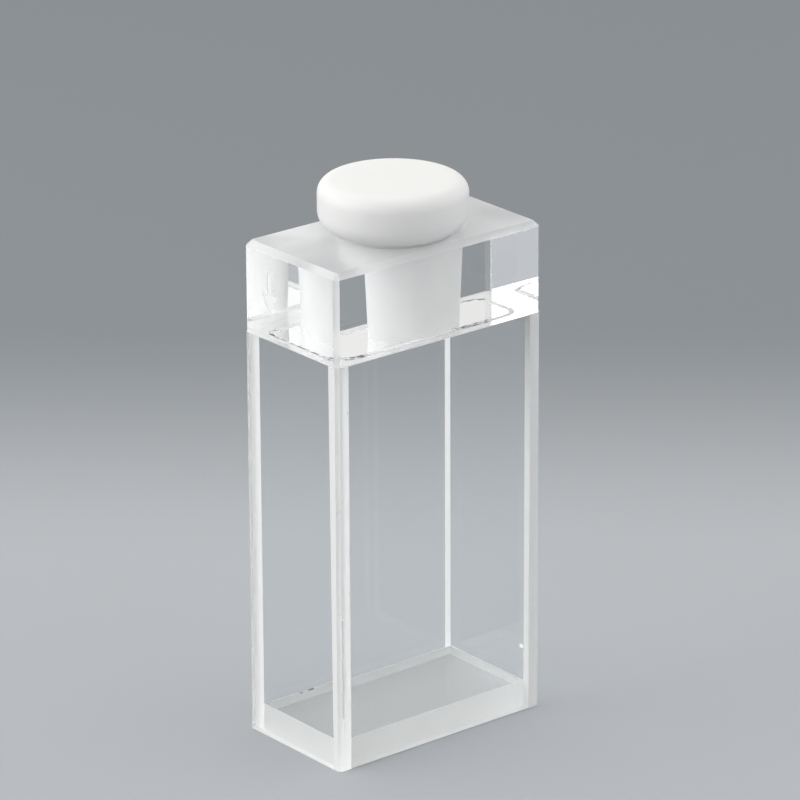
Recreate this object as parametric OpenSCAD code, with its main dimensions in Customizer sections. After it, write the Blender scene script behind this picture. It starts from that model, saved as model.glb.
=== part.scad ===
// Stoppered optical cell (cuvette), in millimetres.
//
// Four polished windows stand round a base plate, and a thick bored block closes the
// top. A tapered stopper with a round head plugs the bore.
//
// +Z is up, X runs along the long light path and Y along the short one. The origin is
// the centre of the underside, on the surface that the cell stands on.

/* [Cell] */
// Outer width of the cell, along the long light path (X)
cell_w = 22.5; // [16:0.5:60]
// Outer depth of the cell, along the short light path (Y)
cell_d = 12.5; // [11.5:0.5:30]
// Height of the glass, from the underside to the top of the neck block
cell_h = 45; // [20:0.5:80]
// Thickness of each of the four windows
window_t = 1.25; // [0.8:0.05:2]
// Thickness of the base plate, which sits between the windows
base_t = 2.5; // [1:0.1:5]
// Bevel ground along the outer upright edges of the end windows
edge_bevel = 0.3; // [0.05:0.05:0.5]

/* [Neck block] */
// Height of the block on top of the windows
neck_h = 8.2; // [5:0.1:14]
// Chamfer ground along the upright edges of the block
corner_chamfer = 0.4; // [0.1:0.05:1]
// Chamfer ground round the top face of the block
top_chamfer = 0.5; // [0.1:0.05:1]
// Diameter of the bore at the top face
bore_d = 9.9; // [6:0.05:10]
// Taper of the bore: the depth over which its diameter narrows by one unit
bore_taper = 10; // [8:1:50]
// Chamfer round the mouth of the bore
mouth_chamfer = 0.2; // [0.05:0.05:0.3]

/* [Stopper] */
// Diameter of the head
head_d = 12.9; // [12.5:0.1:16]
// Height of the head, from its underside to the middle of its crown
head_h = 4.55; // [4:0.05:8]
// Radius of the head's upper edge
head_edge_r = 1.25; // [0.5:0.05:1.5]
// Radius of the head's lower edge
head_belly_r = 1.7; // [0.5:0.05:1.7]
// Rise of the domed crown above the upper edge
crown_rise = 0.15; // [0.05:0.05:0.4]
// Gap between the head's underside and the top of the block
head_gap = 0.2; // [0.05:0.05:1]
// Height at which the shank stops above the underside of the block
tip_rise = 0.6; // [0.2:0.1:2]
// Chamfer round the tip of the shank
tip_chamfer = 0.3; // [0.1:0.1:0.6]
// Clearance between the seated shank and the bore, on the radius
shank_clearance = 0.03; // [0.01:0.01:0.1]

/* [Hidden] */
$fn = 96;

// Cutters run this far past the faces they cut
overrun = 1;

wall_h = cell_h - neck_h;             // top of the windows, where the block sits
chamber_w = cell_w - 2 * window_t;    // long light path
chamber_d = cell_d - 2 * window_t;    // short light path

// Radius of the bore at height z
function bore_r(z) = bore_d / 2 - (cell_h - z) / (2 * bore_taper);
// Radius of the stopper's shank at height z
function shank_r(z) = bore_r(z) - shank_clearance;

head_r = head_d / 2;
head_z = cell_h + head_gap;           // underside of the head
head_top_z = head_z + head_h;         // middle of the crown
tip_z = wall_h + tip_rise;            // tip of the shank

// The crown is an arc that runs into the round upper edge without a corner.
edge_x = head_r - head_edge_r;        // centre of the upper edge's arc
edge_z = head_top_z - crown_rise - head_edge_r;
crown_drop = head_edge_r + crown_rise;
crown_r = (pow(edge_x, 2) + pow(crown_drop, 2) - pow(head_edge_r, 2)) / (2 * crown_rise);
crown_x = edge_x * crown_r / (crown_r - head_edge_r);   // where the two arcs meet
belly_x = head_r - head_belly_r;      // centre of the lower edge's arc
belly_z = head_z + head_belly_r;

// One upright pane of the glass, w by d by h, standing on the origin's plane
module pane(w, d, h) {
    translate([-w / 2, -d / 2, 0]) cube([w, d, h]);
}

// Rectangle w by d about the origin with its four corners cut off at 45 degrees
module cut_corner_rectangle(w, d, cut) {
    difference() {
        square([w, d], center = true);
        for (x = [-w / 2, w / 2], y = [-d / 2, d / 2])
            translate([x, y]) rotate(45) square(cut * sqrt(2), center = true);
    }
}

// Long window on the front (side = -1) or the back (side = 1), between the end windows
module long_window(side) {
    color([0.80, 0.88, 0.92, 0.35])
        translate([0, side * (cell_d - window_t) / 2, 0])
            pane(chamber_w, window_t, wall_h);
}

// End window on the left (side = -1) or the right (side = 1), over the full depth
module end_window(side) {
    color([0.76, 0.86, 0.91, 0.35])
        intersection() {
            linear_extrude(wall_h) cut_corner_rectangle(cell_w, cell_d, edge_bevel);
            translate([side * (cell_w - window_t) / 2, 0, 0])
                pane(window_t, cell_d, wall_h);
        }
}

module front_window() long_window(-1);
module back_window() long_window(1);
module left_window() end_window(-1);
module right_window() end_window(1);

// Floor of the chamber, let in between the four windows and flush with their lower edges
module base_plate() {
    color([0.86, 0.90, 0.92, 0.6])
        pane(chamber_w, chamber_d, base_t);
}

// Side view of the block, w wide, with its two top edges chamfered, extruded by length
module topped_prism(w, length) {
    rotate([90, 0, 0])
        linear_extrude(length, center = true)
            polygon([
                [-w / 2, wall_h], [w / 2, wall_h],
                [w / 2, cell_h - top_chamfer], [w / 2 - top_chamfer, cell_h],
                [-w / 2 + top_chamfer, cell_h], [-w / 2, cell_h - top_chamfer]
            ]);
}

// Tapered hole through the block, with a chamfered mouth
module neck_bore() {
    translate([0, 0, wall_h - overrun])
        cylinder(h = neck_h + 2 * overrun,
                 r1 = bore_r(wall_h - overrun), r2 = bore_r(cell_h + overrun));
    translate([0, 0, cell_h - mouth_chamfer])
        cylinder(h = mouth_chamfer + overrun,
                 r1 = bore_r(cell_h - mouth_chamfer), r2 = bore_d / 2 + mouth_chamfer + overrun);
}

// Thick block fused on top of the windows, which holds the stopper
module neck_block() {
    color([0.84, 0.90, 0.93, 0.5])
        difference() {
            intersection() {
                translate([0, 0, wall_h])
                    linear_extrude(neck_h) cut_corner_rectangle(cell_w, cell_d, corner_chamfer);
                topped_prism(cell_w, cell_d + 2 * overrun);
                rotate([0, 0, 90]) topped_prism(cell_d, cell_w + 2 * overrun);
            }
            neck_bore();
        }
}

// Half section of the stopper's round head, from the axis outwards
module head_section() {
    // domed crown, down to the underside
    intersection() {
        translate([0, head_z]) square([crown_x, head_h]);
        translate([0, head_top_z - crown_r]) circle(r = crown_r, $fn = 360);
    }
    translate([edge_x, edge_z]) circle(r = head_edge_r);
    // straight side between the two round edges
    translate([0, belly_z]) square([head_r, edge_z - belly_z]);
    intersection() {
        translate([belly_x, belly_z]) circle(r = head_belly_r);
        translate([0, head_z]) square([head_r, head_h]);
    }
}

// Half section of the tapered shank, from the axis outwards, up into the head
module shank_section() {
    polygon([
        [0, tip_z], [shank_r(tip_z) - tip_chamfer, tip_z],
        [shank_r(tip_z + tip_chamfer), tip_z + tip_chamfer],
        [shank_r(belly_z), belly_z], [0, belly_z]
    ]);
}

// Turned plastic stopper, one piece
module stopper() {
    color([0.95, 0.95, 0.94])
        rotate_extrude() {
            head_section();
            shank_section();
        }
}

front_window();
back_window();
left_window();
right_window();
base_plate();
neck_block();
stopper();
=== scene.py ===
"""Dresses a stoppered optical cell, piece by piece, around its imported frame.

Lengths are in metres unless a name ends in _mm. +Z is up, X runs along the long light
path and Y along the short one. The cell stands on the floor at the origin.
"""

import logging
import math
from collections.abc import Callable, Iterator
from contextlib import contextmanager
from dataclasses import dataclass, field
from enum import Enum

import bmesh
import bpy
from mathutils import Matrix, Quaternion, Vector


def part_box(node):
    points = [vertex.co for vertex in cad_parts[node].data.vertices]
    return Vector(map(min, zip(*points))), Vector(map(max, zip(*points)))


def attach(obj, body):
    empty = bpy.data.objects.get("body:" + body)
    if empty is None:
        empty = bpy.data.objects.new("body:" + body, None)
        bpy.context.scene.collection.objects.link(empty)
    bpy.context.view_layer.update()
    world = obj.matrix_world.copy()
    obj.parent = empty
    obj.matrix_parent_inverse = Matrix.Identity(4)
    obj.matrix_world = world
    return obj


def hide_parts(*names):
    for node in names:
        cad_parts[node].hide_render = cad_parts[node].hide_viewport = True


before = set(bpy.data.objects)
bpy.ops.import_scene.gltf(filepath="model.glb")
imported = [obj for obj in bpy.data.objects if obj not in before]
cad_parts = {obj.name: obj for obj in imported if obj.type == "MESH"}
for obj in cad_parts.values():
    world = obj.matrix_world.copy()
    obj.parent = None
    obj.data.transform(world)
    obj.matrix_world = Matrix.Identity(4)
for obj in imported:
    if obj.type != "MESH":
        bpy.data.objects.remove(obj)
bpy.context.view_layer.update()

LOG = logging.getLogger("cell")
MM = 0.001
TINY = 0.02 * MM          # how far a face may lie from the plane that it is picked by
SEAM_GAP = 0.01 * MM      # each fused face stands this far back, so that none coincide
SQUARE_ON = 0.99          # a face counts as square to an axis when its normal leans less than this
FACES_UP = 0.9            # a face looks up when its normal rises more than this
CUT_SNAP = 1e-8           # how near to a scoring plane a vertex counts as on it
WELD = 1e-7               # vertices closer than this are one
SMOOTH_BELOW = math.radians(30)
QUARTZ_IOR = 1.458
NOISE_MIDDLE = 0.5        # the value that a noise swings about

FaceTest = Callable[[Vector, Vector], bool]
EdgeTest = Callable[[Vector, Vector], bool]
Colour = tuple[float, float, float]
Vector2 = tuple[float, float]
Vector3 = tuple[float, float, float]


class Side(Enum):
    """Which way a piece lies from the middle of the cell."""

    LOW = -1
    HIGH = 1


class Skin(Enum):
    """The kinds of surface that a glass piece has, in the order of its material slots."""

    POLISHED = 0   # optical polish
    GROUND = 1     # ground top and chamfers of the block, still half clear
    SEAM = 2       # where two plates are fused together
    FROSTED = 3    # finely ground, still half clear
    BEAD = 4       # glass squeezed out along a fused joint
    BORE = 5       # ground taper that the stopper seats in
    ETCHED = 6     # deep white etching of the arrow
    EDGE = 7       # ground edges of the windows, which glow with the light inside them
    MARGIN = 8     # coarse-ground margin on a window's outer face
    FOOT = 9       # fused joint all round the base plate, a little clearer than a seam
    GRIT = 10      # brown grit burnt into a joint; also painted shade for two dark dots at the bore's mouth
    CHIPPED = 11   # stretches of the bead with dark chips in them


# ---------------------------------------------------------------- modelling by hand


def clear_selection() -> None:
    """Leaves object mode with nothing selected and nothing active."""
    if bpy.context.object and bpy.context.object.mode != "OBJECT":
        bpy.ops.object.mode_set(mode="OBJECT")
    bpy.ops.object.select_all(action="DESELECT")
    bpy.context.view_layer.objects.active = None


def pick(obj: bpy.types.Object) -> None:
    """Makes one object the only selected and the active one.

    Args:
        obj: The object to pick.
    """
    clear_selection()
    obj.select_set(True)
    bpy.context.view_layer.objects.active = obj


@contextmanager
def editing(obj: bpy.types.Object) -> Iterator[None]:
    """Opens an object in edit mode with none of its mesh selected, and closes it again.

    Args:
        obj: The object to edit.

    Returns:
        The span in which it is open, for a with statement.
    """
    pick(obj)
    bpy.ops.object.mode_set(mode="EDIT")
    bpy.ops.mesh.select_all(action="DESELECT")
    yield
    bpy.ops.object.mode_set(mode="OBJECT")


def select_faces(obj: bpy.types.Object, test: FaceTest) -> None:
    """Selects faces of the object in edit mode by their place and normal.

    Args:
        obj: The object being edited.
        test: Says from a face's middle and its normal whether it is wanted.
    """
    bpy.ops.mesh.select_mode(type="FACE")
    bpy.ops.mesh.select_all(action="DESELECT")
    shape = bmesh.from_edit_mesh(obj.data)
    for face in shape.faces:
        face.select_set(test(face.calc_center_median(), face.normal))
    bmesh.update_edit_mesh(obj.data)


def select_edges(obj: bpy.types.Object, test: EdgeTest) -> None:
    """Selects edges of the object in edit mode by their two ends.

    Args:
        obj: The object being edited.
        test: Says from an edge's two ends whether it is wanted.
    """
    bpy.ops.mesh.select_mode(type="EDGE")
    bpy.ops.mesh.select_all(action="DESELECT")
    shape = bmesh.from_edit_mesh(obj.data)
    for edge in shape.edges:
        edge.select_set(test(edge.verts[0].co, edge.verts[1].co))
    bmesh.update_edit_mesh(obj.data)


def slice_at(axis: int, place: float) -> None:
    """Scores the whole mesh in edit mode along a plane across one axis.

    Args:
        axis: 0, 1 or 2 for a plane across X, Y or Z.
        place: Where the plane lies along that axis.
    """
    point, normal = Vector(), Vector()
    point[axis], normal[axis] = place, 1.0
    bpy.ops.mesh.select_all(action="SELECT")
    bpy.ops.mesh.bisect(plane_co=point, plane_no=normal, threshold=CUT_SNAP)
    bpy.ops.mesh.select_all(action="DESELECT")


def add_block(name: str, low: Vector, high: Vector) -> bpy.types.Object:
    """Adds a rectangular blank, its object at the origin.

    Args:
        name: The blank's name.
        low: Its lowest corner.
        high: Its highest corner.

    Returns:
        The blank.
    """
    clear_selection()
    bpy.ops.mesh.primitive_cube_add(size=1, location=(low + high) / 2, scale=high - low)
    obj = bpy.context.object
    obj.name = obj.data.name = name
    bpy.ops.object.transform_apply(location=True, rotation=True, scale=True)
    return obj


def cut_away(obj: bpy.types.Object, cutter: bpy.types.Object) -> None:
    """Cuts one closed mesh out of another and removes the cutter.

    Args:
        obj: The piece to cut.
        cutter: The shape to take out of it.
    """
    pick(obj)
    cut = obj.modifiers.new("cut", "BOOLEAN")
    cut.operation = "DIFFERENCE"
    cut.solver = "EXACT"
    cut.object = cutter
    bpy.ops.object.modifier_apply(modifier=cut.name)
    bpy.data.objects.remove(cutter)


def within(low: Vector2, spot: Vector2, high: Vector2) -> bool:
    """Says whether a spot lies inside the rectangle between two corners."""
    return low[0] < spot[0] < high[0] and low[1] < spot[1] < high[1]


def paint_faces(obj: bpy.types.Object, choose: Callable[[Vector, Vector], Skin]) -> None:
    """Gives each face the material slot that its place and normal ask for."""
    for face in obj.data.polygons:
        face.material_index = choose(face.center, face.normal).value


# ---------------------------------------------------------------- finishes


def node_group(name: str, inputs: dict[str, float], outputs: dict[str, str]) -> bpy.types.NodeTree:
    """Starts a shader node group.

    Args:
        name: The group's name.
        inputs: Each number that it takes, with its usual value.
        outputs: Each result, with its socket type.

    Returns:
        The group, holding its Group Input and Group Output nodes.
    """
    group = bpy.data.node_groups.new(name, "ShaderNodeTree")
    for label, value in inputs.items():
        socket = group.interface.new_socket(label, in_out="INPUT", socket_type="NodeSocketFloat")
        socket.default_value = value
    for label, kind in outputs.items():
        group.interface.new_socket(label, in_out="OUTPUT", socket_type=kind)
    group.nodes.new("NodeGroupInput")
    group.nodes.new("NodeGroupOutput")
    return group


@dataclass
class NodeDesk:
    """A short hand for wiring one node tree."""

    tree: bpy.types.NodeTree

    def add(self, kind: str, **settings: object) -> bpy.types.Node:
        """Adds a node.

        Args:
            kind: The node's type.
            **settings: Properties to set on it.

        Returns:
            The node.
        """
        node = self.tree.nodes.new(kind)
        for label, value in settings.items():
            setattr(node, label, value)
        return node

    def join(self, start: object, end: bpy.types.NodeSocket) -> None:
        """Links an output to an input, or sets a plain value on the input.

        Args:
            start: The output, or the plain value.
            end: The input.
        """
        if isinstance(start, bpy.types.NodeSocket):
            self.tree.links.new(start, end)
        else:
            end.default_value = start

    def math(self, operation: str, first: object, second: object = 0.0) -> bpy.types.NodeSocket:
        """Adds a Math node.

        Args:
            operation: What it works out.
            first: A socket or a plain number.
            second: Another, left alone by operations on one number.

        Returns:
            Its result.
        """
        node = self.add("ShaderNodeMath", operation=operation)
        for socket, value in zip(node.inputs, (first, second)):
            self.join(value, socket)
        return node.outputs["Value"]

    def noise(self, place: bpy.types.NodeSocket, scale: object, detail: float,
              rough: float = 0.5) -> bpy.types.NodeSocket:
        """Adds a Noise texture.

        Args:
            place: Where it is read.
            scale: Its scale, as a socket or a number.
            detail: How many finer layers it has.
            rough: How strong they are.

        Returns:
            Its value.
        """
        node = self.add("ShaderNodeTexNoise")
        self.join(place, node.inputs["Vector"])
        self.join(scale, node.inputs["Scale"])
        node.inputs["Detail"].default_value = detail
        node.inputs["Roughness"].default_value = rough
        return node.outputs["Fac"]

    def remap(self, value: bpy.types.NodeSocket, low: float, high: float,
              to_low: float = 0.0, to_high: float = 1.0) -> bpy.types.NodeSocket:
        """Adds a clamped Map Range.

        Args:
            value: The value to map.
            low: The value that gives to_low.
            high: The value that gives to_high.
            to_low: What comes out at and below low.
            to_high: What comes out at and above high.

        Returns:
            The mapped value.
        """
        node = self.add("ShaderNodeMapRange")
        self.join(value, node.inputs["Value"])
        node.inputs["From Min"].default_value = low
        node.inputs["From Max"].default_value = high
        node.inputs["To Min"].default_value = to_low
        node.inputs["To Max"].default_value = to_high
        return node.outputs["Result"]

    def shade(self, colour: object, tone: bpy.types.NodeSocket, end: bpy.types.NodeSocket) -> None:
        """Makes a colour lighter or darker and feeds it to an input.

        Args:
            colour: A socket or a plain colour.
            tone: What the colour is multiplied by.
            end: The input.
        """
        node = self.add("ShaderNodeVectorMath", operation="SCALE")
        self.join(colour, node.inputs[0])
        self.join(tone, node.inputs["Scale"])
        self.join(node.outputs["Vector"], end)

    def bump(self, height: bpy.types.NodeSocket, relief: float, depth: float,
             shader: bpy.types.Node) -> None:
        """Gives a shader a fine relief.

        Args:
            height: The height over the surface, about 0 to 1.
            relief: How strong the relief is.
            depth: How deep it is, in metres.
            shader: The shader.
        """
        node = self.add("ShaderNodeBump")
        node.inputs["Strength"].default_value = relief
        node.inputs["Distance"].default_value = depth
        self.join(height, node.inputs["Height"])
        self.join(node.outputs["Normal"], shader.inputs["Normal"])

    def object_place(self) -> bpy.types.NodeSocket:
        """The point on the surface in the object's own frame, in metres."""
        return self.add("ShaderNodeTexCoord").outputs["Object"]


def ground_grain_group() -> bpy.types.NodeTree:
    """The look of a fine-ground glass face: mottled tone, grain, and small chips.

    Returns:
        A group with outputs Tone (about 1), Chips (0 to 1) and Height.
    """
    group = node_group(
        "ground_grain",
        {"Grain Scale": 9000.0, "Cloud Scale": 700.0, "Patch Scale": 160.0, "Mottle": 0.06,
         "Chip Share": 0.1},
        {"Tone": "NodeSocketFloat", "Chips": "NodeSocketFloat", "Height": "NodeSocketFloat"},
    )
    grain_share = 0.4         # how much of the mottle is fine grain
    pit_fineness = 2.3        # pits are this much finer than the clouds
    pit_level = 0.72          # noise above this, less the chip share, is a chip
    pit_steepness = 9.0       # how sharp a chip's edge is
    patch_edge = (0.42, 0.58)
    desk = NodeDesk(group)
    given, result = group.nodes["Group Input"], group.nodes["Group Output"]
    place, cloud_scale = desk.object_place(), given.outputs["Cloud Scale"]
    grain = desk.noise(place, given.outputs["Grain Scale"], detail=3.0)
    cloud = desk.noise(place, cloud_scale, detail=4.0, rough=0.6)
    both = desk.math("ADD", desk.math("MULTIPLY", grain, grain_share), cloud)
    swing = desk.math("SUBTRACT", both, NOISE_MIDDLE * (1 + grain_share))
    tone = desk.math("ADD", desk.math("MULTIPLY", swing, given.outputs["Mottle"]), 1.0)
    pit_scale = desk.math("MULTIPLY", cloud_scale, pit_fineness)
    pits = desk.noise(place, pit_scale, detail=5.0, rough=0.75)
    edge = desk.math("SUBTRACT", pit_level, given.outputs["Chip Share"])
    over = desk.math("MAXIMUM", desk.math("SUBTRACT", pits, edge), 0.0)
    deep = desk.math("MULTIPLY", over, pit_steepness)
    patch = desk.remap(desk.noise(place, given.outputs["Patch Scale"], detail=1.0), *patch_edge)
    chips = desk.math("MULTIPLY", desk.math("MINIMUM", deep, 1.0), patch)
    desk.join(tone, result.inputs["Tone"])
    desk.join(chips, result.inputs["Chips"])
    desk.join(desk.math("SUBTRACT", grain, chips), result.inputs["Height"])
    return group


def wiped_polish_group() -> bpy.types.NodeTree:
    """The faint smears and dust left on a polished window that has been wiped.

    Returns:
        A group with outputs Smear (0 to 1) and Dust (0 to 1).
    """
    group = node_group(
        "wiped_polish",
        {"Smear Scale": 90.0, "Dust Scale": 1500.0},
        {"Smear": "NodeSocketFloat", "Dust": "NodeSocketFloat"},
    )
    wipe_stretch = (1.0, 1.0, 0.22)    # smears run up and down
    wipe_lean = (0.2, 0.12, 0.0)       # and lean a little
    desk = NodeDesk(group)
    given, result = group.nodes["Group Input"], group.nodes["Group Output"]
    place = desk.object_place()
    wipe = desk.add("ShaderNodeMapping")
    wipe.inputs["Scale"].default_value = wipe_stretch
    wipe.inputs["Rotation"].default_value = wipe_lean
    desk.join(place, wipe.inputs["Vector"])
    smear = desk.noise(wipe.outputs["Vector"], given.outputs["Smear Scale"], detail=5.0, rough=0.6)
    dust = desk.noise(place, given.outputs["Dust Scale"], detail=2.0, rough=0.4)
    desk.join(desk.remap(smear, low=0.5, high=0.8), result.inputs["Smear"])
    desk.join(desk.remap(dust, low=0.74, high=0.8), result.inputs["Dust"])
    return group


def lathe_mark_group() -> bpy.types.NodeTree:
    """The faint rings that a turned piece keeps, and its waxy unevenness.

    Returns:
        A group with outputs Tone (about 1), Rub (0 to 1) and Height.
    """
    group = node_group(
        "lathe_marks",
        {"Pitch": 0.00016, "Mottle": 0.03},
        {"Tone": "NodeSocketFloat", "Rub": "NodeSocketFloat", "Height": "NodeSocketFloat"},
    )
    waver_scale, waver_reach = 260.0, 0.4 * MM    # the rings wander by this much
    cloud_scale = 420.0
    ring_share = 0.35                             # the rings' height, against the waxy skin's
    wax_scale = 1400.0
    desk = NodeDesk(group)
    given, result = group.nodes["Group Input"], group.nodes["Group Output"]
    place = desk.object_place()
    parts = desk.add("ShaderNodeSeparateXYZ")
    desk.join(place, parts.inputs["Vector"])
    across = desk.math("POWER", parts.outputs["X"], 2.0)
    deep = desk.math("POWER", parts.outputs["Y"], 2.0)
    radius = desk.math("SQRT", desk.math("ADD", across, deep))
    reach = desk.math("ADD", radius, parts.outputs["Z"])
    waver = desk.math("MULTIPLY", desk.noise(place, waver_scale, detail=3.0), waver_reach)
    turn = desk.math("DIVIDE", desk.math("ADD", reach, waver), given.outputs["Pitch"])
    ring = desk.math("SINE", desk.math("MULTIPLY", turn, math.tau))
    cloud = desk.noise(place, cloud_scale, detail=5.0, rough=0.6)
    off_middle = desk.math("SUBTRACT", cloud, NOISE_MIDDLE)
    swing = desk.math("MULTIPLY", off_middle, given.outputs["Mottle"])
    desk.join(desk.math("ADD", swing, 1.0), result.inputs["Tone"])
    desk.join(desk.remap(cloud, low=0.35, high=0.7), result.inputs["Rub"])
    rings = desk.math("MULTIPLY", ring, ring_share)
    height = desk.math("ADD", rings, desk.noise(place, wax_scale, detail=4.0))
    desk.join(height, result.inputs["Height"])
    return group


@dataclass(frozen=True)
class GroupShelf:
    """The node groups that the finishes share, each built once."""

    ground_grain: bpy.types.NodeTree = field(default_factory=ground_grain_group)
    wiped_polish: bpy.types.NodeTree = field(default_factory=wiped_polish_group)
    lathe_marks: bpy.types.NodeTree = field(default_factory=lathe_mark_group)


def new_material(name: str) -> tuple[bpy.types.Material, NodeDesk, bpy.types.Node]:
    """Starts a material.

    Args:
        name: The material's name.

    Returns:
        The material, its desk and its Principled node.
    """
    material = bpy.data.materials.new(name)
    material.use_nodes = True
    return material, NodeDesk(material.node_tree), material.node_tree.nodes["Principled BSDF"]


def place_group(desk: NodeDesk, group: bpy.types.NodeTree,
                values: dict[str, float]) -> bpy.types.Node:
    """Puts a shared group into a material.

    Args:
        desk: The material's desk.
        group: The group to place.
        values: The material's own values for the group's inputs.

    Returns:
        The group's node.
    """
    node = desk.add("ShaderNodeGroup", node_tree=group)
    for label, value in values.items():
        node.inputs[label].default_value = value
    return node


def pass_lamps(desk: NodeDesk, shader: bpy.types.Node, tint: Colour) -> None:
    """Lets lamp light straight through a clear shader, so that it reaches what is behind.

    Args:
        desk: The material's desk.
        shader: Its Principled node.
        tint: The share of light that goes through.
    """
    out = desk.tree.nodes["Material Output"]
    path = desk.add("ShaderNodeLightPath")
    clear = desk.add("ShaderNodeBsdfTransparent")
    clear.inputs["Color"].default_value = (*tint, 1.0)
    mix = desk.add("ShaderNodeMixShader")
    desk.join(path.outputs["Is Shadow Ray"], mix.inputs["Fac"])
    desk.join(shader.outputs["BSDF"], mix.inputs[1])
    desk.join(clear.outputs["BSDF"], mix.inputs[2])
    desk.join(mix.outputs["Shader"], out.inputs["Surface"])


@dataclass(frozen=True)
class PolishedQuartz:
    """Clear fused quartz with an optical polish, wiped clean but for faint smears."""

    name: str = "polished_quartz"
    smear_scale: float = 90.0
    dust_scale: float = 1500.0
    tint: Colour = (0.985, 0.993, 0.998)
    lamp_tint: Colour = (0.95, 0.96, 0.965)
    clean: float = 0.0
    smeared: float = 0.035

    def build(self, shelf: GroupShelf) -> bpy.types.Material:
        """Builds the material.

        Args:
            shelf: The shared node groups.

        Returns:
            The finished material.
        """
        material, desk, shader = new_material(self.name)
        wear = place_group(desk, shelf.wiped_polish, {
            "Smear Scale": self.smear_scale, "Dust Scale": self.dust_scale})
        shader.inputs["Base Color"].default_value = (*self.tint, 1.0)
        shader.inputs["IOR"].default_value = QUARTZ_IOR
        shader.inputs["Transmission Weight"].default_value = 1.0
        rough = desk.remap(wear.outputs["Smear"], 0.0, 1.0, self.clean, self.smeared)
        desk.join(rough, shader.inputs["Roughness"])
        pass_lamps(desk, shader, self.lamp_tint)
        return material


@dataclass(frozen=True)
class GroundQuartz:
    """Fused quartz with a fine-ground face, which scatters light and looks white."""

    name: str
    tone: Colour
    chip_tone: Colour = (0.45, 0.45, 0.44)
    clearness: float = 0.0
    lamp_pass: float = 0.6
    rough: float = 0.5
    chip_polish: float = 0.6
    mottle: float = 0.06
    chip_share: float = 0.05
    patch_scale: float = 160.0
    relief: float = 0.25
    grain_depth: float = 0.03 * MM

    def build(self, shelf: GroupShelf) -> bpy.types.Material:
        """Builds the material.

        Args:
            shelf: The shared node groups.

        Returns:
            The finished material.
        """
        material, desk, shader = new_material(self.name)
        grain = place_group(desk, shelf.ground_grain, {
            "Mottle": self.mottle, "Chip Share": self.chip_share, "Patch Scale": self.patch_scale})
        mix = desk.add("ShaderNodeMix", data_type="RGBA")
        mix.inputs["A"].default_value = (*self.tone, 1.0)
        mix.inputs["B"].default_value = (*self.chip_tone, 1.0)
        desk.join(grain.outputs["Chips"], mix.inputs["Factor"])
        desk.shade(mix.outputs["Result"], grain.outputs["Tone"], shader.inputs["Base Color"])
        shader.inputs["IOR"].default_value = QUARTZ_IOR
        shader.inputs["Transmission Weight"].default_value = self.clearness
        in_chip = self.rough * self.chip_polish
        rough = desk.remap(grain.outputs["Chips"], 0.0, 1.0, self.rough, in_chip)
        desk.join(rough, shader.inputs["Roughness"])
        desk.bump(grain.outputs["Height"], self.relief, self.grain_depth, shader)
        pass_lamps(desk, shader, (self.lamp_pass,) * 3)
        return material


@dataclass(frozen=True)
class TurnedPlastic:
    """White fluoropolymer as it comes off the lathe: waxy, satin and slightly see-through."""

    name: str = "turned_white_plastic"
    tone: Colour = (0.9, 0.9, 0.89)
    nick_at: Vector3 = (-1.33 * MM, -0.8 * MM, 49.72 * MM)    # a nick on the crown, painted paler as a highlight where its wall catches the light
    nick_reach: Vector3 = (0.65 * MM, 0.13 * MM, 0.3 * MM)
    nick_turn: float = math.radians(-94.8)
    nick_highlight_tone: float = 0.12
    mottle: float = 0.035
    rough: Vector2 = (0.36, 0.5)
    ior: float = 1.38
    glow_share: float = 0.6
    glow_reach: float = 1.6 * MM
    glow_tint: Colour = (1.0, 0.97, 0.94)
    relief: float = 0.12
    ring_depth: float = 0.03 * MM

    def build(self, shelf: GroupShelf) -> bpy.types.Material:
        """Builds the material.

        Args:
            shelf: The shared node groups.

        Returns:
            The finished material.
        """
        material, desk, shader = new_material(self.name)
        marks = place_group(desk, shelf.lathe_marks, {"Mottle": self.mottle})
        nick = desk.add("ShaderNodeMapping", vector_type="TEXTURE")
        nick.inputs["Location"].default_value = self.nick_at
        nick.inputs["Rotation"].default_value = (0.0, 0.0, self.nick_turn)
        nick.inputs["Scale"].default_value = self.nick_reach
        desk.join(desk.object_place(), nick.inputs["Vector"])
        spot = desk.add("ShaderNodeTexGradient", gradient_type="SPHERICAL")
        desk.join(nick.outputs["Vector"], spot.inputs["Vector"])
        # painted highlight: the nick's spot is made paler for the light that its wall catches
        glow = desk.math("MULTIPLY", spot.outputs["Fac"], self.nick_highlight_tone)
        tone = desk.math("ADD", marks.outputs["Tone"], glow)
        desk.shade(self.tone, tone, shader.inputs["Base Color"])
        desk.join(desk.remap(marks.outputs["Rub"], 0.0, 1.0, *self.rough), shader.inputs["Roughness"])
        shader.inputs["IOR"].default_value = self.ior
        shader.inputs["Subsurface Weight"].default_value = self.glow_share
        shader.inputs["Subsurface Radius"].default_value = self.glow_tint
        shader.inputs["Subsurface Scale"].default_value = self.glow_reach
        desk.bump(marks.outputs["Height"], self.relief, self.ring_depth, shader)
        return material


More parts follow.
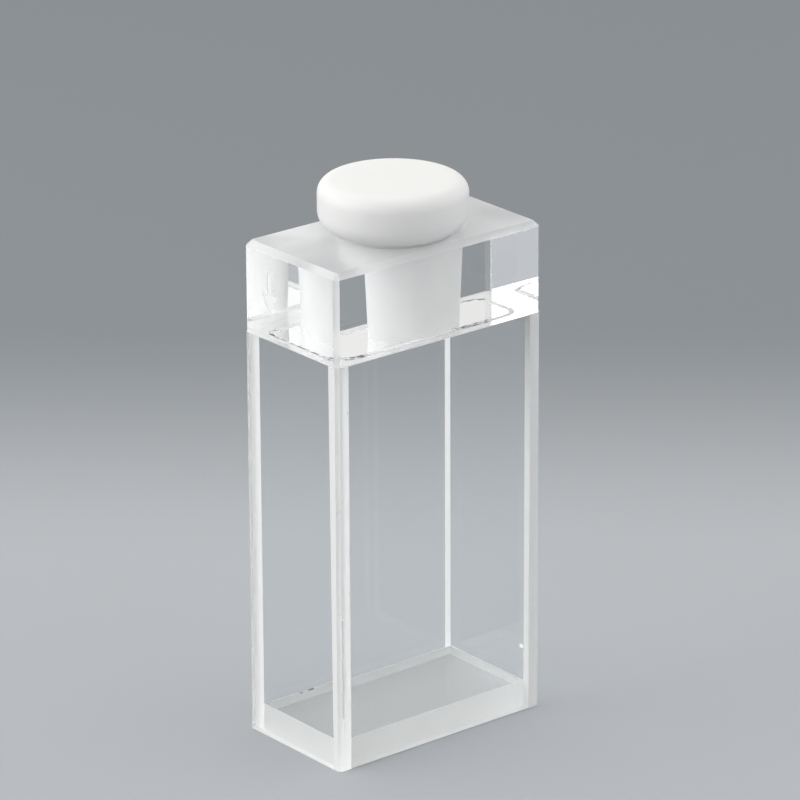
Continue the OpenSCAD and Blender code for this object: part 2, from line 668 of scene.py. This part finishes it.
@dataclass(frozen=True)
class Finishes:
    """Every finish of the cell, ready to go on its pieces."""

    glass: dict[Skin, bpy.types.Material]
    plastic: bpy.types.Material

    @classmethod
    def build(cls) -> "Finishes":
        """Builds the shared groups and then each finish.

        Returns:
            The finishes.
        """
        shelf = GroupShelf()
        glass = {
            Skin.POLISHED: PolishedQuartz(),
            Skin.GROUND: GroundQuartz("ground_quartz", (0.83, 0.835, 0.84), clearness=0.85,
                                      lamp_pass=0.9, rough=0.34, mottle=0.1, chip_share=0.03,
                                      relief=0.15),
            Skin.SEAM: GroundQuartz("fused_seam", (0.97, 0.97, 0.965), clearness=0.05, rough=0.6),
            Skin.FROSTED: GroundQuartz("frosted_quartz", (0.76, 0.765, 0.765), clearness=0.5,
                                       lamp_pass=0.75, rough=0.13, mottle=0.05, chip_share=0.02,
                                       relief=0.05),
            Skin.BEAD: GroundQuartz("fused_bead", (0.98, 0.98, 0.98), mottle=0.1, chip_share=0.1,
                                    chip_tone=(0.16, 0.16, 0.155)),
            Skin.BORE: GroundQuartz("ground_bore", (0.95, 0.95, 0.945), mottle=0.05, chip_share=0.03,
                                    relief=0.02),
            Skin.ETCHED: GroundQuartz("etched_mark", (0.97, 0.97, 0.97), lamp_pass=0.2, rough=0.7,
                                      mottle=0.04, chip_share=0.02),
            Skin.EDGE: GroundQuartz("ground_edge", (0.96, 0.96, 0.955), clearness=0.75, chip_share=0.1),
            Skin.MARGIN: GroundQuartz("ground_margin", (0.94, 0.94, 0.935), clearness=0.15, rough=0.55,
                                      chip_share=0.06),
            Skin.FOOT: GroundQuartz("fused_foot", (0.95, 0.95, 0.945), clearness=0.8, rough=0.6),
            # dark grit, also used as painted shade for the two dots at the bore's mouth
            Skin.GRIT: GroundQuartz("grit_and_painted_shade", (0.25, 0.18, 0.12), mottle=0.3, chip_share=0.2,
                                    chip_tone=(0.1, 0.07, 0.05)),
            Skin.CHIPPED: GroundQuartz("chipped_bead", (0.95, 0.95, 0.95), mottle=0.1, chip_share=0.42,
                                       chip_tone=(0.02, 0.02, 0.018), patch_scale=1500.0),
        }
        return cls(
            glass={skin: finish.build(shelf) for skin, finish in glass.items()},
            plastic=TurnedPlastic().build(shelf),
        )

    def dress_glass(self, obj: bpy.types.Object) -> None:
        """Gives a glass piece its slots in the order of Skin."""
        for skin in Skin:
            obj.data.materials.append(self.glass[skin])


# ---------------------------------------------------------------- pieces


@dataclass(frozen=True)
class CellSizes:
    """Sizes of the cell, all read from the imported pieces.

    Attributes:
        half_w: Half the cell's outer width (X).
        half_d: Half its outer depth (Y).
        wall: Thickness of a window.
        base_top: Top of the base plate.
        wall_top: Top of the windows.
        block_top: Top of the neck block.
    """

    half_w: float
    half_d: float
    wall: float
    base_top: float
    wall_top: float
    block_top: float

    @classmethod
    def read(cls) -> "CellSizes":
        """Reads the sizes from the frame's nodes.

        Returns:
            The sizes.
        """
        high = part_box("neck_block")[1]
        left_low, left_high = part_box("left_window")
        return cls(
            half_w=high.x,
            half_d=high.y,
            wall=left_high.x - left_low.x,
            base_top=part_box("base_plate")[1].z,
            wall_top=left_high.z,
            block_top=high.z,
        )

    @property
    def room_w(self) -> float:
        """Half the chamber's width."""
        return self.half_w - self.wall

    @property
    def room_d(self) -> float:
        """Half the chamber's depth."""
        return self.half_d - self.wall


@dataclass
class LongWindow:
    """One of the two long polished windows, let in between the end windows."""

    sizes: CellSizes
    side: Side
    edge_break: float = 0.04 * MM

    @property
    def node(self) -> str:
        """The frame's node that the window stands for."""
        return "front_window" if self.side is Side.LOW else "back_window"

    def skin(self, middle: Vector, normal: Vector) -> Skin:
        """Picks a face's skin: polished outside and in, but not where the base plate sits.

        Args:
            middle: The middle of the face.
            normal: Its normal.

        Returns:
            Its skin.
        """
        if abs(normal.y) < SQUARE_ON:
            return Skin.SEAM
        on_base = abs(middle.y) < self.sizes.room_d + TINY and middle.z < self.sizes.base_top
        return Skin.FOOT if on_base else Skin.POLISHED

    def build(self, finishes: Finishes) -> bpy.types.Object:
        """Models the window, marks its seams and hangs it on the cell.

        Args:
            finishes: The finishes to dress it with.

        Returns:
            The finished window.
        """
        s, turn = self.sizes, self.side.value
        y_in, y_out = turn * s.room_d, turn * s.half_d
        half = s.room_w - SEAM_GAP
        obj = add_block(
            self.node + "_glass",
            Vector((-half, min(y_in, y_out), 0.0)),
            Vector((half, max(y_in, y_out), s.wall_top - SEAM_GAP)),
        )
        with editing(obj):
            slice_at(2, s.base_top)
            select_edges(obj, lambda a, b: abs(a.y - y_out) < TINY and abs(b.y - y_out) < TINY
                         and abs(abs(a.x) - half) < TINY and abs(abs(b.x) - half) < TINY)
            bpy.ops.mesh.bevel(offset=self.edge_break, segments=1, affect="EDGES")
        paint_faces(obj, self.skin)
        finishes.dress_glass(obj)
        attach(obj, "cell")
        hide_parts(self.node)
        return obj


@dataclass
class EndWindow:
    """One of the two end windows, over the full depth; the left one has a ground margin."""

    sizes: CellSizes
    side: Side
    bevel: float = 0.3 * MM
    margin_low: float = 0.84 * MM
    margin_high: float = 1.12 * MM
    slit_low: Vector2 = (0.35 * MM, 4.4 * MM)       # inward from the left end, and up
    slit_high: Vector2 = (0.47 * MM, 14.0 * MM)
    fleck_low: Vector2 = (-4.9 * MM, 5.45 * MM)     # Y and Z on the right window's inner face
    fleck_high: Vector2 = (-4.45 * MM, 5.8 * MM)
    white_foot: float = 5.9 * MM

    @property
    def node(self) -> str:
        """The frame's node that the window stands for."""
        return "left_window" if self.side is Side.LOW else "right_window"

    def front_edge(self, middle: Vector) -> Skin:
        """Picks the skin of the front edge: a clear slit on the left, a white foot on the right.

        Args:
            middle: The middle of the face.

        Returns:
            Its skin.
        """
        if self.side is Side.HIGH:
            return Skin.MARGIN if middle.z < self.white_foot else Skin.EDGE
        inward = middle.x + self.sizes.half_w
        in_slit = within(self.slit_low, (inward, middle.z), self.slit_high)
        return Skin.POLISHED if in_slit else Skin.EDGE

    def skin(self, middle: Vector, normal: Vector) -> Skin:
        """Picks a face's skin: polished, ground on margins and edges, fused over the seams.

        Args:
            middle: The middle of the face.
            normal: Its normal.

        Returns:
            Its skin.
        """
        s, is_left = self.sizes, self.side is Side.LOW
        if normal.y < -SQUARE_ON:
            return self.front_edge(middle)
        if abs(normal.x) < SQUARE_ON:
            return Skin.MARGIN if normal.z < -SQUARE_ON else Skin.EDGE
        if abs(middle.x) > s.half_w - TINY:
            on_margin = is_left and middle.y < -s.half_d + self.margin_low
            return Skin.MARGIN if on_margin else Skin.POLISHED
        if abs(middle.y) > s.room_d:
            return Skin.SEAM
        if not is_left and within(self.fleck_low, (middle.y, middle.z), self.fleck_high):
            return Skin.BEAD
        return Skin.FOOT if middle.z < s.base_top else Skin.POLISHED

    def build(self, finishes: Finishes) -> bpy.types.Object:
        """Models the window, marks its margins and seams and hangs it on the cell.

        Args:
            finishes: The finishes to dress it with.

        Returns:
            The finished window.
        """
        s, turn = self.sizes, self.side.value
        x_in, x_out = turn * s.room_w, turn * s.half_w
        obj = add_block(
            self.node + "_glass",
            Vector((min(x_in, x_out), -s.half_d, 0.0)),
            Vector((max(x_in, x_out), s.half_d, s.wall_top - SEAM_GAP)),
        )
        with editing(obj):
            select_edges(obj, lambda a, b: abs(a.x - x_out) < TINY and abs(b.x - x_out) < TINY
                         and a.y * b.y > 0)
            bpy.ops.mesh.bevel(offset=self.bevel, segments=1, affect="EDGES")
            for place in (-s.room_d, s.room_d):
                slice_at(1, place)
            slice_at(2, s.base_top)
            if self.side is Side.LOW:
                slope = (self.margin_high - self.margin_low) / s.wall_top
                bpy.ops.mesh.select_all(action="SELECT")
                bpy.ops.mesh.bisect(plane_co=(0, -s.half_d + self.margin_low, 0),
                                    plane_no=(0, 1, -slope), threshold=CUT_SNAP)
                for inward, height in (self.slit_low, self.slit_high):
                    slice_at(0, x_out + inward)
                    slice_at(2, height)
            else:
                slice_at(2, self.white_foot)
                for place, height in (self.fleck_low, self.fleck_high):
                    slice_at(1, place)
                    slice_at(2, height)
        paint_faces(obj, self.skin)
        finishes.dress_glass(obj)
        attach(obj, "cell")
        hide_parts(self.node)
        return obj


@dataclass
class BasePlate:
    """The floor of the chamber, polished on top and ground everywhere else."""

    sizes: CellSizes
    node: str = "base_plate"
    edge_break: float = 0.06 * MM
    # two specks on the back edge, each from and to an X
    grit: tuple[Vector2, ...] = ((-6.2 * MM, -6.0 * MM), (-5.25 * MM, -4.65 * MM))
    grit_h: float = 0.25 * MM
    grit_w: float = 0.4 * MM

    def skin(self, middle: Vector, normal: Vector) -> Skin:
        """Picks a face's skin: polished on top, ground below, fused round the sides.

        Args:
            middle: The middle of the face.
            normal: Its normal.

        Returns:
            Its skin.
        """
        s = self.sizes
        on_back_edge = middle.y > s.room_d - self.grit_w and middle.z > s.base_top - self.grit_h
        if on_back_edge and any(low < middle.x < high for low, high in self.grit):
            return Skin.GRIT
        if normal.z > SQUARE_ON:
            return Skin.POLISHED
        return Skin.FROSTED if normal.z < -SQUARE_ON else Skin.FOOT

    def build(self, finishes: Finishes) -> bpy.types.Object:
        """Models the plate and hangs it on the cell.

        Args:
            finishes: The finishes to dress it with.

        Returns:
            The finished plate.
        """
        s = self.sizes
        reach = Vector((s.room_w - SEAM_GAP, s.room_d - SEAM_GAP, 0.0))
        obj = add_block(self.node + "_glass", -reach, reach + Vector((0, 0, s.base_top)))
        with editing(obj):
            select_edges(obj, lambda a, b: a.z > s.base_top / 2 and b.z > s.base_top / 2)
            bpy.ops.mesh.bevel(offset=self.edge_break, segments=1, affect="EDGES")
            slice_at(1, s.room_d - self.grit_w)
            slice_at(2, s.base_top - self.grit_h)
            for place in (end for speck in self.grit for end in speck):
                slice_at(0, place)
        paint_faces(obj, self.skin)
        finishes.dress_glass(obj)
        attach(obj, "cell")
        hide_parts(self.node)
        return obj


@dataclass
class NeckBlock:
    """The thick bored block on top, polished at its sides and below, ground elsewhere."""

    sizes: CellSizes
    node: str = "neck_block"
    corner_chamfer: float = 0.4 * MM
    top_chamfer: float = 0.5 * MM
    bore_r: float = 4.95 * MM
    bore_taper: float = 10.0             # 1 in 10 on the diameter
    mouth_chamfer: float = 0.2 * MM
    bore_sides: int = 160
    overrun: float = 1.0 * MM
    arrow_y: float = 2.7 * MM
    arrow_foot: float = 2.4 * MM
    arrow_h: float = 3.7 * MM
    arrow_head: float = 2.0 * MM
    arrow_line: float = 0.55 * MM
    arrow_depth: float = 0.04 * MM
    stem_start: float = 0.8              # the stem starts this share of the way up the head
    ring_step: float = 0.03 * MM
    ring_corner_r: float = 2.2 * MM
    ring_corner_steps: int = 8
    ring_cuts: int = 24
    ring_waves: tuple[int, int] = (31, 53)    # waves round the outline, laid over each other
    ring_waver: float = 0.005
    ring_lap: float = 0.3 * MM
    bead_w: float = 0.65 * MM
    chips_back: Vector2 = (7.2 * MM, 9.5 * MM)                # X, along the back of the bead
    chips_front: Vector2 = (2.6 * MM, 6.4 * MM)               # X, along its front
    chips_corner: Vector2 = (-9.3 * MM, -7.0 * MM)            # X, along its front at the left
    shade_dots: Vector2 = (163.4, -62.0)       # degrees round the mouth, two dots of painted shade where the stopper's head meets it
    shade_dot_width: float = 3.0               # degrees
    wall_lean: float = 0.3               # a wall's normal rises less than this
    faces_down: float = 0.5              # the underside's normals fall more than this

    def bore_radius(self, z: float) -> float:
        """The bore's radius at a height."""
        return self.bore_r - (self.sizes.block_top - z) / (2 * self.bore_taper)

    def bead_skin(self, middle: Vector) -> Skin:
        """Picks the skin of the fused bead, which is chipped along three stretches.

        Args:
            middle: The middle of a face of the bead.

        Returns:
            Its skin.
        """
        stretches = (self.chips_back,) if middle.y > 0 else (self.chips_front, self.chips_corner)
        chipped = any(low < middle.x < high for low, high in stretches)
        return Skin.CHIPPED if chipped else Skin.BEAD

    def hole_skin(self, middle: Vector, normal: Vector) -> Skin:
        """Picks the skin of the bore and its mouth, which has two dots of painted shade where the
        stopper's head meets it.

        Args:
            middle: The middle of the face.
            normal: Its normal.

        Returns:
            Its skin.
        """
        if abs(normal.z) < self.wall_lean:
            return Skin.BORE
        turn = math.degrees(math.atan2(middle.y, middle.x))
        on_shade_dot = any(abs(turn - dot) < self.shade_dot_width / 2 for dot in self.shade_dots)
        # painted shade: the dots take the dark grit finish where the head's overhang meets the mouth
        return Skin.GRIT if on_shade_dot and normal.z < FACES_UP else Skin.GROUND

    def skin(self, middle: Vector, normal: Vector) -> Skin:
        """Picks a face's skin: sides and ceiling polished, the bead white, the rest ground.

        Args:
            middle: The middle of the face.
            normal: Its normal.

        Returns:
            Its skin.
        """
        s = self.sizes
        # the underside climbs in two steps, from the frosted rim to the bead and to the ceiling
        levels = (Skin.FROSTED, self.bead_skin(middle), Skin.POLISHED)
        steps_up = (middle.z - s.wall_top) / self.ring_step
        if normal.z < -self.faces_down:
            return levels[min(round(steps_up), len(levels) - 1)]
        if steps_up < len(levels):
            return self.bead_skin(middle)
        if abs(normal.y) > SQUARE_ON and abs(middle.y) > s.half_d - TINY:
            return Skin.POLISHED
        if abs(normal.x) > SQUARE_ON and abs(middle.x) > s.half_w - TINY:
            return Skin.POLISHED
        if middle.x < -s.half_w + self.arrow_depth + TINY:
            return Skin.ETCHED
        if math.hypot(middle.x, middle.y) > self.bore_r + self.mouth_chamfer:
            return Skin.GROUND
        return self.hole_skin(middle, normal)

    def add_cone(self, name: str, low: float, high: float,
                 r_low: float, r_high: float) -> bpy.types.Object:
        """Adds a cone on the axis, its object at the origin.

        Args:
            name: The cone's name.
            low: The height of its lower end.
            high: The height of its upper end.
            r_low: Its radius at the lower end.
            r_high: Its radius at the upper end.

        Returns:
            The cone.
        """
        clear_selection()
        bpy.ops.mesh.primitive_cone_add(
            vertices=self.bore_sides, radius1=r_low, radius2=r_high, depth=high - low,
            location=(0, 0, (low + high) / 2))
        cone = bpy.context.object
        cone.name = name
        bpy.ops.object.transform_apply(location=True, rotation=True, scale=True)
        return cone

    def add_ring_cutter(self, name: str, inset: float, depth: float) -> bpy.types.Object:
        """Makes a cutter with round corners and a wavy outline, for the block's underside.

        Args:
            name: The cutter's name.
            inset: How far its outline lies inside the chamber's walls.
            depth: How deep it goes into the underside.

        Returns:
            The cutter, its object at the origin.
        """
        s = self.sizes
        reach = Vector((s.room_w - inset, s.room_d - inset, 0))
        cutter = add_block(name, Vector((0, 0, s.wall_top - self.overrun)) - reach,
                           Vector((0, 0, s.wall_top + depth)) + reach)
        with editing(cutter):
            select_edges(cutter, lambda a, b: abs(a.z - b.z) > TINY)
            bpy.ops.mesh.bevel(
                offset=self.ring_corner_r - inset, segments=self.ring_corner_steps, affect="EDGES")
            select_edges(cutter, lambda a, b: abs(a.z - b.z) < TINY and (a - b).length > MM)
            bpy.ops.mesh.subdivide(number_cuts=self.ring_cuts)
        coarse, fine = self.ring_waves
        for point in cutter.data.vertices:
            turn = math.atan2(point.co.y, point.co.x)
            swell = math.sin(coarse * turn + inset / TINY) + math.sin(fine * turn + depth / TINY)
            point.co.xy *= 1 + self.ring_waver * swell
        return cutter

    def arrow_cutters(self) -> list[bpy.types.Object]:
        """Makes the two cutters of the light-path arrow on the left end of the block.

        Returns:
            The arrow's stem and its three-cornered head, both sunk into the face.
        """
        face, depth = -self.sizes.half_w, self.arrow_depth
        foot = self.sizes.wall_top + self.arrow_foot
        head_h = self.arrow_head * math.sqrt(3) / 2
        half = self.arrow_line / 2
        stem = add_block(
            "arrow_stem",
            Vector((face - depth, self.arrow_y - half, foot + head_h * self.stem_start)),
            Vector((face + depth, self.arrow_y + half, foot + self.arrow_h)),
        )
        clear_selection()
        bpy.ops.mesh.primitive_cylinder_add(
            vertices=3, radius=self.arrow_head / math.sqrt(3), depth=2 * depth,
            location=(face, self.arrow_y, foot + head_h * 2 / 3),
            rotation=(-math.pi / 2, 0, -math.pi / 2))
        head = bpy.context.object
        head.name = "arrow_head"
        bpy.ops.object.transform_apply(location=True, rotation=True, scale=True)
        return [stem, head]

    def build(self, finishes: Finishes) -> bpy.types.Object:
        """Models the block, bores it, grinds its chamfers and hangs it on the cell.

        Args:
            finishes: The finishes to dress it with.

        Returns:
            The finished block.
        """
        s = self.sizes
        bottom, top = s.wall_top, s.block_top
        obj = add_block(
            self.node + "_glass",
            Vector((-s.half_w, -s.half_d, bottom)), Vector((s.half_w, s.half_d, top)))
        with editing(obj):
            select_edges(obj, lambda a, b: abs(a.z - b.z) > TINY)
            bpy.ops.mesh.bevel(offset=self.corner_chamfer, segments=1, affect="EDGES")
            select_edges(obj, lambda a, b: a.z > top - TINY and b.z > top - TINY)
            bpy.ops.mesh.bevel(offset=self.top_chamfer, segments=1, affect="EDGES")
        cut_away(obj, self.add_ring_cutter("bead_line", self.ring_lap, self.ring_step))
        ceiling_inset = self.ring_lap + self.bead_w
        cut_away(obj, self.add_ring_cutter("ceiling", ceiling_inset, 2 * self.ring_step))
        low, high = bottom - self.overrun, top + self.overrun
        cut_away(obj, self.add_cone("bore", low, high, self.bore_radius(low), self.bore_radius(high)))
        step = top - self.mouth_chamfer
        rim = self.bore_r + self.mouth_chamfer + self.overrun
        cut_away(obj, self.add_cone("mouth", step, high, self.bore_radius(step), rim))
        for cutter in self.arrow_cutters():
            cut_away(obj, cutter)
        with editing(obj):
            for stretch in (self.chips_back, self.chips_front, self.chips_corner):
                for place in stretch:
                    slice_at(0, place)
        paint_faces(obj, self.skin)
        pick(obj)
        bpy.ops.object.shade_smooth_by_angle(angle=SMOOTH_BELOW)
        finishes.dress_glass(obj)
        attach(obj, "cell")
        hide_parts(self.node)
        return obj


@dataclass
class Stopper:
    """The turned plastic stopper: a tapered shank under a round head."""

    sizes: CellSizes
    node: str = "stopper"
    sides: int = 128
    shank_play: float = 0.03 * MM
    tip_rise: float = 0.6 * MM
    tip_chamfer: float = 0.3 * MM
    head_gap: float = 0.2 * MM
    belly_r: float = 1.7 * MM
    edge_r: float = 1.25 * MM
    crown_rise: float = 0.15 * MM
    arc_steps: int = 12
    hair: float = 0.0001 * MM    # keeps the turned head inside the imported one

    def profile(self, neck: NeckBlock) -> list[Vector2]:
        """The stopper's half section as radius and height, from the tip up to the crown.

        Args:
            neck: The block whose bore the shank follows.

        Returns:
            The stations of the profile, in order.
        """
        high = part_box(self.node)[1]
        top, head_r = high.z, min(high.x, high.y) - self.hair
        tip = self.sizes.wall_top + self.tip_rise
        under = self.sizes.block_top + self.head_gap

        def shank(z: float) -> float:
            """The shank's radius at a height."""
            return neck.bore_radius(z) - self.shank_play

        stations = [
            (shank(tip) - self.tip_chamfer, tip),
            (shank(tip + self.tip_chamfer), tip + self.tip_chamfer),
        ]
        belly_x, belly_z = head_r - self.belly_r, under + self.belly_r
        start = math.acos(max(shank(under) - belly_x, 0.0) / self.belly_r)
        for i in range(self.arc_steps + 1):
            a = start * (i / self.arc_steps - 1)
            stations.append((belly_x + self.belly_r * math.cos(a), belly_z + self.belly_r * math.sin(a)))
        edge_x = head_r - self.edge_r
        edge_z = top - self.crown_rise - self.edge_r
        drop = self.edge_r + self.crown_rise
        crown_r = (edge_x ** 2 + drop ** 2 - self.edge_r ** 2) / (2 * self.crown_rise)
        lean = math.asin(edge_x / (crown_r - self.edge_r))
        for i in range(self.arc_steps + 1):
            a = (math.pi / 2 - lean) * i / self.arc_steps
            stations.append((edge_x + self.edge_r * math.cos(a), edge_z + self.edge_r * math.sin(a)))
        for i in range(1, self.arc_steps):
            a = lean * (1 - i / self.arc_steps)
            stations.append((crown_r * math.sin(a), top - crown_r * (1 - math.cos(a))))
        return stations

    def build(self, neck: NeckBlock, finishes: Finishes) -> bpy.types.Object:
        """Turns the stopper station by station and hangs it on its own body.

        Args:
            neck: The block whose bore the shank follows.
            finishes: The finishes to dress it with.

        Returns:
            The finished stopper.
        """
        stations = self.profile(neck)
        (first_r, first_z), (second_r, second_z) = stations[:2]
        clear_selection()
        bpy.ops.mesh.primitive_cone_add(
            vertices=self.sides, radius1=first_r, radius2=second_r, depth=second_z - first_z,
            location=(0, 0, (first_z + second_z) / 2))
        obj = bpy.context.object
        obj.name = obj.data.name = "stopper_turned"
        bpy.ops.object.transform_apply(location=True, rotation=True, scale=True)
        with editing(obj):
            radius, height = second_r, second_z
            select_faces(obj, lambda middle, normal: normal.z > FACES_UP and middle.z > height - TINY)
            for next_r, next_z in stations[2:]:
                bpy.ops.mesh.extrude_region_move(
                    TRANSFORM_OT_translate={"value": (0, 0, next_z - height)})
                share = next_r / radius
                bpy.ops.transform.resize(value=(share, share, 1.0), center_override=(0, 0, next_z))
                radius, height = next_r, next_z
            bpy.ops.mesh.merge(type="CENTER")
            bpy.ops.mesh.select_all(action="SELECT")
            bpy.ops.mesh.remove_doubles(threshold=WELD)
            bpy.ops.mesh.normals_make_consistent(inside=False)
        pick(obj)
        bpy.ops.object.shade_smooth_by_angle(angle=SMOOTH_BELOW)
        obj.data.materials.append(finishes.plastic)
        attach(obj, "plug")
        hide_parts(self.node)
        return obj


# ---------------------------------------------------------------- studio


@dataclass(frozen=True)
class SoftLamp:
    """A square soft lamp that is turned to the cell."""

    name: str
    place: Vector3
    size: float
    power: float
    aim: Vector3 = (0.0, 0.0, 30.0 * MM)

    def build(self) -> None:
        """Hangs the lamp at its place."""
        data = bpy.data.lights.new(self.name, "AREA")
        data.shape = "SQUARE"
        data.size = self.size
        data.energy = self.power
        lamp = bpy.data.objects.new(self.name, data)
        bpy.context.scene.collection.objects.link(lamp)
        lamp.location = self.place
        lamp.rotation_mode = "QUATERNION"
        lamp.rotation_quaternion = (Vector(self.aim) - Vector(self.place)).to_track_quat("-Z", "Y")


@dataclass(frozen=True)
class Floor:
    """A round floor of plain card, pale round the cell and darker far away."""

    radius: float = 3.0
    sides: int = 128
    gap: float = 0.03 * MM
    pale: Colour = (0.478, 0.5, 0.528)
    dusk: Colour = (0.26, 0.28, 0.3)
    fade_from: float = 0.035
    fade_to: float = 0.105
    fade_way: Vector3 = (0.633, 0.774, 0.0)
    rough: float = 0.9
    shine: float = 0.1

    def card(self) -> bpy.types.Material:
        """Builds the card's material, which fades from pale to dusk along one way.

        Returns:
            The finished material.
        """
        material, desk, shader = new_material("floor_card")
        depth = desk.add("ShaderNodeVectorMath", operation="DOT_PRODUCT")
        desk.join(desk.object_place(), depth.inputs[0])
        depth.inputs[1].default_value = self.fade_way
        share = desk.add("ShaderNodeMapRange", interpolation_type="SMOOTHSTEP")
        desk.join(depth.outputs["Value"], share.inputs["Value"])
        share.inputs["From Min"].default_value = self.fade_from
        share.inputs["From Max"].default_value = self.fade_to
        mix = desk.add("ShaderNodeMix", data_type="RGBA")
        mix.inputs["A"].default_value = (*self.pale, 1.0)
        mix.inputs["B"].default_value = (*self.dusk, 1.0)
        desk.join(share.outputs["Result"], mix.inputs["Factor"])
        desk.join(mix.outputs["Result"], shader.inputs["Base Color"])
        shader.inputs["Roughness"].default_value = self.rough
        shader.inputs["Specular IOR Level"].default_value = self.shine
        return material

    def build(self) -> None:
        """Lays the floor just under the cell."""
        clear_selection()
        bpy.ops.mesh.primitive_circle_add(
            vertices=self.sides, radius=self.radius, fill_type="NGON", location=(0, 0, -self.gap))
        floor = bpy.context.object
        floor.name = "floor"
        floor.data.materials.append(self.card())


@dataclass(frozen=True)
class Sky:
    """Soft light from all round, brightest from above and behind."""

    tone: Colour = (0.99, 0.985, 0.968)
    lean: Vector3 = (0.17, 0.86, 0.49)
    fade: Vector2 = (-0.58, 0.3)
    dim: float = 0.25
    bright: float = 0.86

    def build(self) -> None:
        """Sets the world's light."""
        world = bpy.data.worlds.new("studio")
        bpy.context.scene.world = world
        world.use_nodes = True
        desk = NodeDesk(world.node_tree)
        back = world.node_tree.nodes["Background"]
        back.inputs["Color"].default_value = (*self.tone, 1.0)
        lean = desk.add("ShaderNodeVectorMath", operation="DOT_PRODUCT")
        desk.join(desk.add("ShaderNodeTexCoord").outputs["Generated"], lean.inputs[0])
        lean.inputs[1].default_value = self.lean
        strength = desk.remap(lean.outputs["Value"], *self.fade, self.dim, self.bright)
        desk.join(strength, back.inputs["Strength"])


@dataclass(frozen=True)
class LongLens:
    """The camera, which looks down at the cell's left front corner."""

    heading: float = math.radians(39.249)
    tilt: float = math.radians(20.549)
    roll: float = math.radians(-0.257)
    aim_mm: Vector3 = (0.398, -0.325, 29.576)
    distance: float = 0.44899
    lens_mm: float = 235.6
    sensor_mm: float = 36.0
    nearest: float = 0.01
    farthest: float = 20.0

    def build(self) -> None:
        """Sets the camera up and makes it the scene's own."""
        data = bpy.data.cameras.new("camera")
        data.lens = self.lens_mm
        data.sensor_width = self.sensor_mm
        data.clip_start, data.clip_end = self.nearest, self.farthest
        camera = bpy.data.objects.new("camera", data)
        bpy.context.scene.collection.objects.link(camera)
        level = math.cos(self.tilt)
        forward = Vector((
            math.sin(self.heading) * level, math.cos(self.heading) * level, -math.sin(self.tilt)))
        camera.location = Vector(self.aim_mm) * MM - forward * self.distance
        camera.rotation_mode = "QUATERNION"
        camera.rotation_quaternion = (
            forward.to_track_quat("-Z", "Y") @ Quaternion((0, 0, 1), self.roll))
        bpy.context.scene.camera = camera


@dataclass(frozen=True)
class Studio:
    """The floor, the sky, the key lamp on the left, the fill on the right and the camera."""

    floor: Floor = Floor()
    sky: Sky = Sky()
    key: SoftLamp = SoftLamp("key", (-0.43, 0.24, 0.25), size=0.45, power=1.45)
    fill: SoftLamp = SoftLamp("fill", (0.48, -0.58, 0.34), size=1.28, power=3.4)
    camera: LongLens = LongLens()
    bounces: int = 24

    def build(self) -> None:
        """Sets the whole studio up, with enough light bounces for stacked glass."""
        scene = bpy.context.scene
        scene.view_settings.view_transform = "Standard"
        scene.cycles.max_bounces = self.bounces
        scene.cycles.transmission_bounces = self.bounces
        scene.cycles.transparent_max_bounces = self.bounces
        scene.cycles.glossy_bounces = self.bounces // 2
        for item in (self.floor, self.sky, self.key, self.fill, self.camera):
            item.build()


def report(obj: bpy.types.Object) -> None:
    """Logs a finished piece with its number of faces."""
    LOG.info("%s: %d faces", obj.name, len(obj.data.polygons))


def main() -> None:
    """Builds the studio and every piece of the cell, in order."""
    logging.basicConfig(level=logging.INFO, format="%(name)s: %(message)s")
    Studio().build()
    finishes = Finishes.build()
    sizes = CellSizes.read()
    for side in Side:
        report(LongWindow(sizes, side).build(finishes))
    for side in Side:
        report(EndWindow(sizes, side).build(finishes))
    report(BasePlate(sizes).build(finishes))
    neck = NeckBlock(sizes)
    report(neck.build(finishes))
    report(Stopper(sizes).build(neck, finishes))
    clear_selection()


if __name__ == "__main__":
    main()
